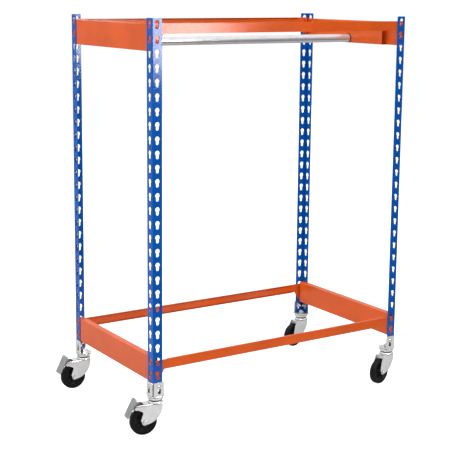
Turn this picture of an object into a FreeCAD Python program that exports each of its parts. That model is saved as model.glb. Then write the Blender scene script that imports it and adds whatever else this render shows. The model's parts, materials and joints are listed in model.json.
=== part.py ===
"""Rolling clothes rack: slotted steel uprights, riveted beams, a garment tube and four swivel casters.

Millimetres, +Z up.  The origin is on the floor, under the middle of the frame.  X runs along the
garment tube and Y runs from front to back.
"""
import FreeCAD, Part
import math
import os

from FreeCAD import Vector

os.makedirs("parts", exist_ok=True)

# ---------------------------------------------------------------- driving dimensions
PITCH = 50.0                    # distance between the keyhole slots of an upright
SLOT_COUNT = 27
FRAME_LENGTH = 1140.0           # over the uprights, along X
FRAME_DEPTH = 636.0             # over the uprights, along Y
FLANGE = 39.0                   # width of each upright flange
UPRIGHT_SHEET = 2.0
FIRST_SLOT_DROP = 22.0          # middle of the first slot below the top of the upright
SLOT_SETBACK = 20.0             # middle of the slots from the corner of the upright

KEYHOLE_HEIGHT = 30.0
KEYHOLE_ENTRY_RADIUS = 9.0      # the round upper part that a stud head passes
KEYHOLE_SEAT_RADIUS = 6.0       # the narrow lower part that a stud drops into

BEAM_HEIGHT = 92.0              # deep end beams, across the short sides
BEAM_WIDTH = 26.0
BEAM_SHEET = 2.0
BEAM_CORNER_RADIUS = 10.0
BEAM_BEND = 3.0
TOP_BEAM_RISE = 0.0             # top edge of the beam above the middle of its upper slot
BOTTOM_BEAM_RISE = 15.0
TOP_BOX_SETBACK = 105.0         # where the box section stops and only its outer wall goes on
BOTTOM_BOX_SETBACK = 16.0

RAIL_HEIGHT = 36.0              # narrow rails, along the long sides
RAIL_LIP = 8.0
RAIL_SHEET = 1.8
RAIL_RISE = 4.0
RAIL_CHANNEL_SETBACK = 62.0
RAIL_PLATE_DROP = 17.0          # foot of the end plate below the middle of its lower slot
RAIL_FOOT_SETBACK = 27.0        # the end plate tapers into the rail between these two
RAIL_TAPER_SETBACK = 48.0
PLATE_SETBACK = 6.0             # ends of beams and rails, from the outer plane of the upright

TUBE_RADIUS = 16.5
TUBE_WALL = 1.5
TUBE_DROP = 73.0                # axis of the tube below the middle of the first slot

PLUG_FLANGE = 2.0
PLUG_LENGTH = 32.0
SCREW_RADIUS = 3.95
SCREW_HOLE_RADIUS = 4.3
SCREW_LENGTH = 26.0

WHEEL_RADIUS = 51.0
CORE_RADIUS = 40.0              # the moulded core inside the tyre
TYRE_WIDTH = 24.0
HUB_WIDTH = 35.0
CASTER_HEIGHT = 143.0           # floor to the underside of the bracket
PIVOT_INSET = 22.0              # swivel axis from both outer planes of the upright
TRAIL = 47.0                    # axle behind the swivel axis
FORK_WIDTH = 42.0
FORK_SHEET = 2.5
FORK_ROOF = 3.0
FORK_DROP = 25.0                # top of the fork below the underside of the bracket
AXLE_RADIUS = 4.0
KINGPIN_RADIUS = 6.0
KINGPIN_FLATS = 19.0
RACE_RADIUS = 30.0
BALL_RADIUS = 3.0
BALL_COUNT = 18
BALL_CIRCLE = 21.0
RUNNING_FIT = 0.08

BRACKET_SHEET = 3.0
BRACKET_REACH = 50.0            # the base, from the corner of the upright inwards
LEG_WIDTH = 42.0
LEG_SLIT = 2.0                  # each leg starts this far from the corner of the upright
RELIEF_RADIUS = 5.0
BRACKET_SLOT_X = 25.0
BRACKET_SLOT_LOW = 9.0          # ends of the slot above the underside of the bracket
BRACKET_SLOT_HIGH = 44.0
BRACKET_SLOT_RADIUS = 5.8
BOLT_RADIUS = 4.0
BOLT_X = 24.0
BOLT_RISE = 35.0                # above the underside of the bracket
BOLT_HEAD_RADIUS = 7.5
BOLT_LENGTH = 20.0

BRAKE_PIN_RADIUS = 3.0
BRAKE_PIN_BACK = 30.0           # behind and above the axle
BRAKE_PIN_RISE = 56.5
PEDAL_WIDTH = 46.0
PEDAL_SHEET = 3.0
PEDAL_RIBS = 12
SHOE_DEPTH = 16.5
SHOE_GAP = 0.4
EAR_OUTER = 17.0
EAR_SHEET = 2.5
EAR_RING = 7.0

# name, side along X, side along Y, swivel angle at rest in degrees, has a foot brake
CORNERS = [
    ("front_left", -1, -1, -10.0, True),
    ("back_left", -1, 1, -2.0, True),
    ("back_right", 1, 1, 8.0, False),
    ("front_right", 1, -1, 13.0, False),
]

# ---------------------------------------------------------------- derived dimensions
HALF_LENGTH = FRAME_LENGTH / 2
HALF_DEPTH = FRAME_DEPTH / 2
UPRIGHT_BOTTOM = CASTER_HEIGHT + BRACKET_SHEET
UPRIGHT_TOP = UPRIGHT_BOTTOM + SLOT_COUNT * PITCH
FIRST_SLOT_Z = UPRIGHT_TOP - FIRST_SLOT_DROP
WALL_X = HALF_LENGTH - UPRIGHT_SHEET        # outer faces of the end beams
WALL_Y = HALF_DEPTH - UPRIGHT_SHEET         # outer faces of the rails
TUBE_Z = FIRST_SLOT_Z - TUBE_DROP
TOP_SLOT = 0
BOTTOM_SLOT = SLOT_COUNT - 3                # the last slot is left for the caster bracket

TUBE_END = WALL_X - BEAM_WIDTH - PLUG_FLANGE
LEG_TOP = UPRIGHT_BOTTOM + PITCH
BOLT_Z = CASTER_HEIGHT + BOLT_RISE

FORK_TOP = CASTER_HEIGHT - FORK_DROP
LOWER_RACE_TOP = FORK_TOP + 6.0
BALL_Z = LOWER_RACE_TOP + 2.6
UPPER_RACE_BOTTOM = BALL_Z + BALL_RADIUS + 0.5
AXLE_X = -TRAIL                             # the caster parts are drawn about their swivel axis
AXLE_Z = WHEEL_RADIUS
BRAKE_PIN_X = AXLE_X - BRAKE_PIN_BACK
BRAKE_PIN_Z = AXLE_Z + BRAKE_PIN_RISE
PEDAL_TOP = (AXLE_X - 32.5, AXLE_Z + 88.0)
PEDAL_FOOT = (AXLE_X - 66.0, AXLE_Z + 21.0)

STUD_RADIUS = 5.5
STUD_HEAD_RADIUS = 7.0
STUD_TAIL_RADIUS = 4.0
STUD_FIT = 0.1
STUD_DROP = KEYHOLE_HEIGHT / 2 - STUD_RADIUS - STUD_FIT

X_AXIS = Vector(1, 0, 0)
Y_AXIS = Vector(0, 1, 0)
Z_AXIS = Vector(0, 0, 1)
ORIGIN = Vector(0, 0, 0)


def slot_z(index):
    """Height of the middle of a keyhole slot, counted down from 0 at the top."""
    return FIRST_SLOT_Z - index * PITCH


# ---------------------------------------------------------------- small helpers
def block(low, high):
    size = Vector(*high) - Vector(*low)
    return Part.makeBox(size.x, size.y, size.z, Vector(*low))


def rod(radius, start, end):
    axis = Vector(*end) - Vector(*start)
    return Part.makeCylinder(radius, axis.Length, Vector(*start), axis)


def polygon_face(points):
    return Part.Face(Part.makePolygon([Vector(*p) for p in points + points[:1]]))


def hexagon(across_flats, height, base):
    """A hexagonal prism that stands on the point base, with its axis along +Z."""
    radius = across_flats / math.sqrt(3)
    corners = []
    for step in range(6):
        angle = math.radians(60 * step)
        x = base[0] + radius * math.cos(angle)
        y = base[1] + radius * math.sin(angle)
        corners.append((x, y, base[2]))
    return polygon_face(corners).extrude(Vector(0, 0, height))


def revolved(profile):
    """Turn a closed (radius, z) profile about the Z axis."""
    return polygon_face([(r, 0, z) for r, z in profile]).revolve(ORIGIN, Z_AXIS, 360)


def aimed(shape, position, direction):
    """Move a shape built at the origin along +Z to a position, pointing along a direction."""
    placed = shape.copy()
    turn = FreeCAD.Rotation(Z_AXIS, direction)
    placed.Placement = FreeCAD.Placement(Vector(*position), turn).multiply(placed.Placement)
    return placed


def mirrored(shape, flip_x, flip_y):
    if flip_x:
        shape = shape.mirror(ORIGIN, X_AXIS)
    if flip_y:
        shape = shape.mirror(ORIGIN, Y_AXIS)
    return shape


def save(shape, name):
    shape.exportStep("parts/" + name + ".step")


# ---------------------------------------------------------------- uprights
def keyhole_cutter(depth):
    """A keyhole prism about the origin, in the XZ plane, cutting along +Y."""
    top = KEYHOLE_HEIGHT / 2 - KEYHOLE_ENTRY_RADIUS
    bottom = KEYHOLE_SEAT_RADIUS - KEYHOLE_HEIGHT / 2
    entry = rod(KEYHOLE_ENTRY_RADIUS, (0, 0, top), (0, depth, top))
    seat = rod(KEYHOLE_SEAT_RADIUS, (0, 0, bottom), (0, depth, bottom))
    neck = block((-KEYHOLE_SEAT_RADIUS, 0, bottom), (KEYHOLE_SEAT_RADIUS, depth, top))
    return entry.fuse([seat, neck]).removeSplitter()


def upright():
    """The front-left upright: an L of sheet with keyholes in both flanges, corner at the origin."""
    outer_bend = 3.0
    inner_bend = outer_bend - UPRIGHT_SHEET
    angle = block((0, 0, 0), (FLANGE, FLANGE, SLOT_COUNT * PITCH))
    angle = angle.makeFillet(outer_bend, [edge_at(angle, 0, 0)])
    pocket = block((UPRIGHT_SHEET, UPRIGHT_SHEET, 0), (FLANGE, FLANGE, SLOT_COUNT * PITCH))
    pocket = pocket.makeFillet(inner_bend, [edge_at(pocket, UPRIGHT_SHEET, UPRIGHT_SHEET)])
    angle = angle.cut(pocket)
    front_cutter = keyhole_cutter(3 * UPRIGHT_SHEET)
    front_cutter.translate(Vector(SLOT_SETBACK, -UPRIGHT_SHEET, 0))
    side_cutter = front_cutter.mirror(ORIGIN, Vector(1, -1, 0))
    cutters = []
    for index in range(SLOT_COUNT):
        height = SLOT_COUNT * PITCH - FIRST_SLOT_DROP - index * PITCH
        for cutter in (front_cutter, side_cutter):
            tool = cutter.copy()
            tool.translate(Vector(0, 0, height))
            cutters.append(tool)
    angle = angle.cut(cutters)
    angle.translate(Vector(-HALF_LENGTH, -HALF_DEPTH, UPRIGHT_BOTTOM))
    return angle


def edge_at(shape, x, y):
    """The upright edge of a block that stands at x, y."""
    for edge in shape.Edges:
        middle = edge.CenterOfMass
        if abs(middle.x - x) < 0.01 and abs(middle.y - y) < 0.01:
            return edge


def make_uprights():
    shape = upright()
    for name, side_x, side_y, _, _ in CORNERS:
        save(mirrored(shape, side_x > 0, side_y > 0), "upright_" + name)


# ---------------------------------------------------------------- end beams and rails
def rivet_heights(first_slot):
    return [slot_z(first_slot) - STUD_DROP, slot_z(first_slot + 1) - STUD_DROP]


def end_beam(top, first_slot, box_setback, holds_tube):
    """The left end beam: a box section whose outer wall runs on and hooks into the uprights."""
    bottom = top - BEAM_HEIGHT
    wall_end = HALF_DEPTH - PLATE_SETBACK
    box_end = HALF_DEPTH - box_setback
    wall = block((-WALL_X, -wall_end, bottom), (-WALL_X + BEAM_SHEET, wall_end, top))
    corners = []
    for edge in wall.Edges:
        middle = edge.CenterOfMass
        if abs(abs(middle.y) - wall_end) < 0.01 and abs(middle.z - bottom) < 0.01:
            corners.append(edge)
    wall = wall.makeFillet(BEAM_CORNER_RADIUS, corners)
    tube = block((-WALL_X, -box_end, bottom), (-WALL_X + BEAM_WIDTH, box_end, top))
    inner_x = -WALL_X + BEAM_WIDTH
    bends = []
    for edge in tube.Edges:
        middle = edge.CenterOfMass
        if abs(middle.y) < 0.01 and abs(middle.x - inner_x) < 0.01:
            bends.append(edge)
    tube = tube.makeFillet(BEAM_BEND, bends)
    hollow = block((-WALL_X + BEAM_SHEET, -box_end - 1, bottom + BEAM_SHEET),
                   (inner_x - BEAM_SHEET, box_end + 1, top - BEAM_SHEET))
    beam = wall.fuse(tube.cut(hollow)).removeSplitter()
    stud_y = HALF_DEPTH - SLOT_SETBACK
    holes = []
    for height in rivet_heights(first_slot):
        for y in (-stud_y, stud_y):
            start = (-WALL_X - 1, y, height)
            holes.append(rod(STUD_TAIL_RADIUS, start, (-WALL_X + BEAM_SHEET + 1, y, height)))
    if holds_tube:
        start = (inner_x - BEAM_SHEET - 1, 0, TUBE_Z)
        holes.append(rod(SCREW_HOLE_RADIUS, start, (inner_x + 1, 0, TUBE_Z)))
    return beam.cut(holes)


def rail(top, first_slot):
    """The front rail: a shallow channel whose web widens at each end into a plate with two studs."""
    bottom = top - RAIL_HEIGHT
    plate_bottom = slot_z(first_slot + 1) - RAIL_PLATE_DROP
    end = HALF_LENGTH - PLATE_SETBACK
    foot = HALF_LENGTH - RAIL_FOOT_SETBACK
    taper_end = HALF_LENGTH - RAIL_TAPER_SETBACK
    outline = [
        (-end, top), (end, top), (end, plate_bottom), (foot, plate_bottom), (taper_end, bottom),
        (-taper_end, bottom), (-foot, plate_bottom), (-end, plate_bottom),
    ]
    web = polygon_face([(x, -WALL_Y, z) for x, z in outline]).extrude(Vector(0, RAIL_SHEET, 0))
    channel_end = HALF_LENGTH - RAIL_CHANNEL_SETBACK
    lips = []
    for low in (top - RAIL_SHEET, bottom):
        high = low + RAIL_SHEET
        lips.append(block((-channel_end, -WALL_Y, low), (channel_end, -WALL_Y + RAIL_LIP, high)))
    shape = web.fuse(lips).removeSplitter()
    stud_x = HALF_LENGTH - SLOT_SETBACK
    holes = []
    for height in rivet_heights(first_slot):
        for x in (-stud_x, stud_x):
            start = (x, -WALL_Y - 1, height)
            holes.append(rod(STUD_TAIL_RADIUS, start, (x, -WALL_Y + RAIL_SHEET + 1, height)))
    return shape.cut(holes)


def make_beams():
    levels = [
        ("top", TOP_SLOT, TOP_BEAM_RISE, TOP_BOX_SETBACK),
        ("bottom", BOTTOM_SLOT, BOTTOM_BEAM_RISE, BOTTOM_BOX_SETBACK),
    ]
    for level, slot, rise, box_setback in levels:
        beam = end_beam(slot_z(slot) + rise, slot, box_setback, level == "top")
        save(beam, "end_beam_" + level + "_left")
        save(mirrored(beam, True, False), "end_beam_" + level + "_right")
        long_rail = rail(slot_z(slot) + RAIL_RISE, slot)
        save(long_rail, "rail_" + level + "_front")
        save(mirrored(long_rail, False, True), "rail_" + level + "_back")


def rivet(sheet):
    """A stud rivet along +Z: upset tail, shank through the sheet and the flange, domed head."""
    upset_height = 1.0
    rim_height = 0.8
    dome_height = 1.4
    upset = Part.makeCylinder(STUD_RADIUS, upset_height, Vector(0, 0, -sheet - upset_height))
    tail = Part.makeCylinder(STUD_TAIL_RADIUS, sheet, Vector(0, 0, -sheet))
    shank = Part.makeCylinder(STUD_RADIUS, UPRIGHT_SHEET)
    rim = Part.makeCylinder(STUD_HEAD_RADIUS, rim_height, Vector(0, 0, UPRIGHT_SHEET))
    dome_base = Vector(0, 0, UPRIGHT_SHEET + rim_height)
    dome = Part.makeCone(STUD_HEAD_RADIUS, STUD_TAIL_RADIUS, dome_height, dome_base)
    return upset.fuse([tail, shank, rim, dome]).removeSplitter()


def make_rivets():
    beam_rivet = rivet(BEAM_SHEET)
    rail_rivet = rivet(RAIL_SHEET)
    rivets = []
    for _, side_x, side_y, _, _ in CORNERS:
        for slot in (TOP_SLOT, BOTTOM_SLOT):
            for height in rivet_heights(slot):
                y = side_y * (HALF_DEPTH - SLOT_SETBACK)
                x = side_x * (HALF_LENGTH - SLOT_SETBACK)
                rivets.append(aimed(beam_rivet, (side_x * WALL_X, y, height), Vector(side_x, 0, 0)))
                rivets.append(aimed(rail_rivet, (x, side_y * WALL_Y, height), Vector(0, side_y, 0)))
    save(Part.makeCompound(rivets), "beam_rivets")


# ---------------------------------------------------------------- garment tube
def tube_plug():
    """The left plug: a flange between beam and tube, and a spigot inside the tube."""
    spigot_end = -TUBE_END + PLUG_LENGTH
    bore_start = (-TUBE_END - PLUG_FLANGE - 1, 0, TUBE_Z)
    flange = rod(TUBE_RADIUS + 1.5, (-TUBE_END - PLUG_FLANGE, 0, TUBE_Z), (-TUBE_END, 0, TUBE_Z))
    spigot = rod(TUBE_RADIUS - TUBE_WALL - 0.05, (-TUBE_END, 0, TUBE_Z), (spigot_end, 0, TUBE_Z))
    bore = rod(SCREW_RADIUS + 0.05, bore_start, (spigot_end + 1, 0, TUBE_Z))
    return flange.fuse(spigot).cut(bore)


def tube_screw():
    """A hex screw from inside the beam's box into the plug, along +X."""
    seat = -(WALL_X - BEAM_WIDTH) - BEAM_SHEET
    shank = rod(SCREW_RADIUS, (seat, 0, TUBE_Z), (seat + SCREW_LENGTH, 0, TUBE_Z))
    head = aimed(hexagon(13.0, 5.3, (0, 0, 0)), (seat, 0, TUBE_Z), Vector(-1, 0, 0))
    return shank.fuse(head)


def make_garment_tube():
    outer = rod(TUBE_RADIUS, (-TUBE_END, 0, TUBE_Z), (TUBE_END, 0, TUBE_Z))
    inner = rod(TUBE_RADIUS - TUBE_WALL, (-TUBE_END - 1, 0, TUBE_Z), (TUBE_END + 1, 0, TUBE_Z))
    save(outer.cut(inner), "garment_tube")
    save(tube_plug(), "tube_plug_left")
    save(mirrored(tube_plug(), True, False), "tube_plug_right")
    save(Part.makeCompound([tube_screw(), mirrored(tube_screw(), True, False)]), "tube_screws")


# ---------------------------------------------------------------- caster brackets
def caster_bracket():
    """The front-left bracket: a base under the upright and a leg up the outside of each flange."""
    base = block((-BRACKET_SHEET, -BRACKET_SHEET, CASTER_HEIGHT),
                 (BRACKET_REACH, BRACKET_REACH, UPRIGHT_BOTTOM))
    base = base.makeChamfer(4.0, [edge_at(base, -BRACKET_SHEET, -BRACKET_SHEET)])
    base = base.makeChamfer(12.0, [edge_at(base, BRACKET_REACH, BRACKET_REACH)])
    leg = block((LEG_SLIT, -BRACKET_SHEET, CASTER_HEIGHT), (LEG_SLIT + LEG_WIDTH, 0, LEG_TOP))
    top_corners = []
    for edge in leg.Edges:
        middle = edge.CenterOfMass
        if abs(middle.z - LEG_TOP) < 0.01 and abs(middle.y + BRACKET_SHEET / 2) < 0.01:
            top_corners.append(edge)
    leg = leg.makeFillet(4.0, top_corners).cut(bracket_slot())
    other_leg = leg.mirror(ORIGIN, Vector(1, -1, 0))
    bracket = base.fuse([leg, other_leg]).removeSplitter()
    relief_z = UPRIGHT_BOTTOM + RELIEF_RADIUS + 1.0
    relief = rod(RELIEF_RADIUS, (-2 * RELIEF_RADIUS, -2 * RELIEF_RADIUS, relief_z), (0, 0, relief_z))
    pin_hole = rod(KINGPIN_RADIUS + 0.2, (PIVOT_INSET, PIVOT_INSET, CASTER_HEIGHT - 1),
                   (PIVOT_INSET, PIVOT_INSET, UPRIGHT_BOTTOM + 1))
    bracket = bracket.cut([relief, pin_hole])
    bracket.translate(Vector(-HALF_LENGTH, -HALF_DEPTH, 0))
    return bracket


def bracket_slot():
    """A cutter for the long slot in the leg that stands in the XZ plane."""
    low = CASTER_HEIGHT + BRACKET_SLOT_LOW + BRACKET_SLOT_RADIUS
    high = CASTER_HEIGHT + BRACKET_SLOT_HIGH - BRACKET_SLOT_RADIUS
    reach = 2 * BRACKET_SHEET
    slot = block((BRACKET_SLOT_X - BRACKET_SLOT_RADIUS, -reach, low),
                 (BRACKET_SLOT_X + BRACKET_SLOT_RADIUS, reach, high))
    for height in (low, high):
        slot = slot.fuse(rod(BRACKET_SLOT_RADIUS, (BRACKET_SLOT_X, -reach, height),
                             (BRACKET_SLOT_X, reach, height)))
    return slot


def bracket_bolt():
    """A round-headed bolt along +Z, from the outer face of a bracket leg inwards along -Z."""
    rim_height = 1.5
    crown_height = 2.0
    head = Part.makeCylinder(BOLT_HEAD_RADIUS, rim_height)
    crown = Part.makeCone(BOLT_HEAD_RADIUS, BOLT_HEAD_RADIUS - 3.0, crown_height, Vector(0, 0, rim_height))
    shank = Part.makeCylinder(BOLT_RADIUS, BOLT_LENGTH, Vector(0, 0, -BOLT_LENGTH))
    return head.fuse([crown, shank]).removeSplitter()


def bracket_nut():
    """A flanged nut that bears on the inside of the flange, with the bolt's outer seat at z = 0."""
    seat = -BRACKET_SHEET - UPRIGHT_SHEET
    flange_height = 1.5
    nut_height = 6.5
    bottom = seat - flange_height - nut_height
    flange = Part.makeCylinder(9.5, flange_height, Vector(0, 0, seat - flange_height))
    nut = hexagon(13.0, nut_height, (0, 0, bottom))
    bore = Part.makeCylinder(BOLT_RADIUS, seat - bottom + 2.0, Vector(0, 0, bottom - 1.0))
    return flange.fuse(nut).cut(bore)


def make_brackets():
    shape = caster_bracket()
    bolts = []
    nuts = []
    for name, side_x, side_y, _, _ in CORNERS:
        save(mirrored(shape, side_x > 0, side_y > 0), "caster_bracket_" + name)
        outer_x = side_x * (HALF_LENGTH + BRACKET_SHEET)
        outer_y = side_y * (HALF_DEPTH + BRACKET_SHEET)
        seats = [
            (outer_x, side_y * (HALF_DEPTH - BOLT_X), Vector(side_x, 0, 0)),
            (side_x * (HALF_LENGTH - BOLT_X), outer_y, Vector(0, side_y, 0)),
        ]
        for x, y, outwards in seats:
            bolts.append(aimed(bracket_bolt(), (x, y, BOLT_Z), outwards))
            nuts.append(aimed(bracket_nut(), (x, y, BOLT_Z), outwards))
    save(Part.makeCompound(bolts), "bracket_bolts")
    save(Part.makeCompound(nuts), "bracket_nuts")


# ---------------------------------------------------------------- swivel head
def race_cap():
    """The fixed upper half of the swivel head, a dished disc under the bracket."""
    bore = KINGPIN_RADIUS + 0.05
    return revolved([
        (bore, CASTER_HEIGHT), (RACE_RADIUS - 1.5, CASTER_HEIGHT), (RACE_RADIUS, CASTER_HEIGHT - 1.5),
        (RACE_RADIUS, CASTER_HEIGHT - 8.0), (RACE_RADIUS - 3.0, UPPER_RACE_BOTTOM),
        (16.0, UPPER_RACE_BOTTOM), (14.0, CASTER_HEIGHT - 5.0), (bore, CASTER_HEIGHT - 5.0),
    ])


def lower_race():
    """The turning lower half of the swivel head, grooved for the balls."""
    sunk = FORK_TOP - 0.5
    shoulder = FORK_TOP + 2.0
    rim = RACE_RADIUS - 2.0
    race = revolved([
        (12.0, sunk), (rim, sunk), (rim, shoulder), (rim - 2.0, LOWER_RACE_TOP),
        (BALL_CIRCLE - 4.5, LOWER_RACE_TOP), (12.0, shoulder),
    ])
    return race.cut(Part.makeTorus(BALL_CIRCLE, BALL_RADIUS + 0.1, Vector(0, 0, BALL_Z)))


def kingpin():
    """The bolt on the swivel axis, with its head under the fork."""
    head_height = 7.2
    seat = FORK_TOP - FORK_ROOF - 0.35
    top = UPRIGHT_BOTTOM + 13.0
    head = hexagon(KINGPIN_FLATS, head_height, (0, 0, seat - head_height))
    shank = Part.makeCylinder(KINGPIN_RADIUS, top - seat, Vector(0, 0, seat))
    return head.fuse(shank)


def kingpin_nut():
    nut = hexagon(KINGPIN_FLATS, 10.0, (0, 0, UPRIGHT_BOTTOM))
    return nut.cut(Part.makeCylinder(KINGPIN_RADIUS, 14.0, Vector(0, 0, UPRIGHT_BOTTOM - 2)))


def swivel_balls():
    balls = []
    for step in range(BALL_COUNT):
        angle = 2 * math.pi * step / BALL_COUNT
        centre = Vector(BALL_CIRCLE * math.cos(angle), BALL_CIRCLE * math.sin(angle), BALL_Z)
        balls.append(Part.makeSphere(BALL_RADIUS, centre))
    return Part.makeCompound(balls)


# ---------------------------------------------------------------- fork, wheel and brake
def fork_side_outline(braked):
    """The side of the fork in the XZ plane: swept back to the axle, with a nose for the brake."""
    eye = 11.0
    nose = 7.5
    points = [
        (22.0, FORK_TOP), (21.0, FORK_TOP - 15.0), (17.0, FORK_TOP - 30.0), (9.0, FORK_TOP - 47.0),
        (-4.0, FORK_TOP - 62.0), (-20.0, FORK_TOP - 72.0),
    ]
    for step in range(7):
        angle = math.radians(-55.0 - 20.0 * step)
        points.append((AXLE_X + eye * math.cos(angle), AXLE_Z + eye * math.sin(angle)))
    if not braked:
        points.append((AXLE_X - 15.0, FORK_TOP - 57.0))
        points.append((AXLE_X - 10.0, FORK_TOP - 29.0))
        points.append((AXLE_X, FORK_TOP - 11.0))
        points.append((AXLE_X + 1.0, FORK_TOP))
        return points
    points.append((AXLE_X - 14.5, FORK_TOP - 59.0))
    points.append((AXLE_X - 9.0, FORK_TOP - 44.0))
    points.append((AXLE_X - 6.0, FORK_TOP - 29.0))
    points.append((AXLE_X - 10.5, FORK_TOP - 25.6))
    for step in range(6):
        angle = math.radians(-100.0 - 33.0 * step)
        points.append((BRAKE_PIN_X + nose * math.cos(angle), BRAKE_PIN_Z + nose * math.sin(angle)))
    points.append((AXLE_X - 15.5, FORK_TOP))
    return points


def fork(braked):
    """The pressed fork: a bent U over the wheel, the lower race on top, holes for pin and axle."""
    half = FORK_WIDTH / 2
    inside_half = half - FORK_SHEET
    front = 30.0
    back = AXLE_X - 50.0
    skin = block((back, -half, 20.0), (front, half, FORK_TOP))
    bends = []
    for edge in skin.Edges:
        middle = edge.CenterOfMass
        if abs(abs(middle.y) - half) < 0.01 and abs(middle.z - FORK_TOP) < 0.01:
            bends.append(edge)
    skin = skin.makeFillet(4.0, bends)
    inside = block((back - 1, -inside_half, 19.0), (front + 1, inside_half, FORK_TOP - FORK_ROOF))
    sides = polygon_face([(x, -half - 1, z) for x, z in fork_side_outline(braked)])
    sides = sides.extrude(Vector(0, FORK_WIDTH + 2, 0))
    shape = skin.cut(inside).common(sides)
    if braked:
        mouth = block((back - 1, -inside_half, FORK_TOP - 30.0), (AXLE_X - 3.0, inside_half, FORK_TOP + 1))
        shape = shape.cut(mouth)
    shape = shape.fuse(lower_race())
    bore_radius = KINGPIN_RADIUS + RUNNING_FIT
    holes = [
        Part.makeCylinder(bore_radius, 2 * FORK_DROP, Vector(0, 0, FORK_TOP - FORK_DROP)),
        rod(AXLE_RADIUS, (AXLE_X, -half - 1, AXLE_Z), (AXLE_X, half + 1, AXLE_Z)),
    ]
    if braked:
        holes.append(rod(BRAKE_PIN_RADIUS, (BRAKE_PIN_X, -half - 1, BRAKE_PIN_Z),
                         (BRAKE_PIN_X, half + 1, BRAKE_PIN_Z)))
    return shape.cut(holes)


def axle():
    """Axle bolt and nut, clamped across the fork."""
    half = FORK_WIDTH / 2
    shank = rod(AXLE_RADIUS, (AXLE_X, -half, AXLE_Z), (AXLE_X, half + 8.5, AXLE_Z))
    head = aimed(hexagon(13.0, 5.3, (0, 0, 0)), (AXLE_X, -half, AXLE_Z), Vector(0, -1, 0))
    nut = aimed(hexagon(13.0, 6.5, (0, 0, 0)), (AXLE_X, half, AXLE_Z), Vector(0, 1, 0))
    nut = nut.cut(rod(AXLE_RADIUS, (AXLE_X, half - 1, AXLE_Z), (AXLE_X, half + 9, AXLE_Z)))
    return Part.makeCompound([shank.fuse(head), nut])


def about_axle(profile):
    """Turn a closed (radius, across) profile about the wheel's axle."""
    face = polygon_face([(AXLE_X, across, AXLE_Z + radius) for radius, across in profile])
    return face.revolve(Vector(AXLE_X, 0, AXLE_Z), Y_AXIS, 360)


def wheel_core():
    """Hub, web and rim in one moulding."""
    hub = HUB_WIDTH / 2
    hub_radius = 14.0
    rim = TYRE_WIDTH / 2 - 1.0
    web = 4.0
    half_profile = [
        (AXLE_RADIUS + 0.06, hub), (hub_radius - 2.0, hub), (hub_radius, hub - 3.0), (hub_radius, web),
        (CORE_RADIUS - 7.0, web), (CORE_RADIUS - 5.0, rim), (CORE_RADIUS, rim),
    ]
    return about_axle(half_profile + [(r, -a) for r, a in reversed(half_profile)])


def tyre():
    """A solid tyre with rounded shoulders."""
    half = TYRE_WIDTH / 2
    half_profile = [
        (CORE_RADIUS, half - 1.0), (WHEEL_RADIUS - 8.5, half), (WHEEL_RADIUS - 5.0, half - 0.3),
        (WHEEL_RADIUS - 2.5, half - 1.8), (WHEEL_RADIUS - 0.8, half - 4.2), (WHEEL_RADIUS, half - 8.0),
    ]
    return about_axle(half_profile + [(r, -a) for r, a in reversed(half_profile)])


def pedal_frame():
    """Unit vectors in the XZ plane: down the pedal, and out of its ribbed face."""
    down = Vector(PEDAL_FOOT[0] - PEDAL_TOP[0], 0, PEDAL_FOOT[1] - PEDAL_TOP[1])
    length = down.Length
    down.normalize()
    return down, Vector(down.z, 0, -down.x), length


def brake_pedal():
    """The foot pedal: a ribbed plate with two ears that turn on the brake pin."""
    down, out, length = pedal_frame()
    top = Vector(PEDAL_TOP[0], 0, PEDAL_TOP[1])

    def slab(start, end, low, high, half_width):
        corners = [top + down * start + out * low, top + down * end + out * low,
                   top + down * end + out * high, top + down * start + out * high]
        face = polygon_face([(c.x, -half_width, c.z) for c in corners])
        return face.extrude(Vector(0, 2 * half_width, 0))

    half = PEDAL_WIDTH / 2
    pieces = [slab(0, length, -PEDAL_SHEET, 0, half)]
    rib_start = 4.0
    rib_pitch = (length - 10.0) / (PEDAL_RIBS - 1)
    for step in range(PEDAL_RIBS):
        start = rib_start + step * rib_pitch
        pieces.append(slab(start, start + 2.4, -0.5, 1.4, half - 2.0))
    ear_start = 14.0
    ear_end = 42.0
    sunk = out * 1.0
    pin = Vector(BRAKE_PIN_X, 0, BRAKE_PIN_Z)
    for side in (-1, 1):
        low = EAR_OUTER - EAR_SHEET if side > 0 else -EAR_OUTER
        plate = [top + down * ear_start - sunk, top + down * ear_end - sunk,
                 pin - sunk + down * EAR_RING, pin - sunk - down * EAR_RING]
        ear = polygon_face([(c.x, low, c.z) for c in plate]).extrude(Vector(0, EAR_SHEET, 0))
        ring = rod(EAR_RING, (pin.x, low, pin.z), (pin.x, low + EAR_SHEET, pin.z))
        pieces.append(ear.fuse(ring))
    shape = pieces[0].fuse(pieces[1:]).removeSplitter()
    return shape.cut(rod(BRAKE_PIN_RADIUS + 0.06, (pin.x, -half, pin.z), (pin.x, half, pin.z)))


def brake_shoe():
    """The pad on the back of the pedal, hollowed to the tyre and all but touching it."""
    down, out, _ = pedal_frame()
    top = Vector(PEDAL_TOP[0], 0, PEDAL_TOP[1])
    start = 48.0
    end = 68.0
    taper = 2.0
    base = out * PEDAL_SHEET
    tip = out * (PEDAL_SHEET + SHOE_DEPTH)
    corners = [top + down * start - base, top + down * end - base,
               top + down * (end - taper) - tip, top + down * (start + taper) - tip]
    half = TYRE_WIDTH / 2 - 1.0
    pad = polygon_face([(c.x, -half, c.z) for c in corners]).extrude(Vector(0, 2 * half, 0))
    return pad.cut(rod(WHEEL_RADIUS + SHOE_GAP, (AXLE_X, -half - 1, AXLE_Z), (AXLE_X, half + 1, AXLE_Z)))


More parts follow.
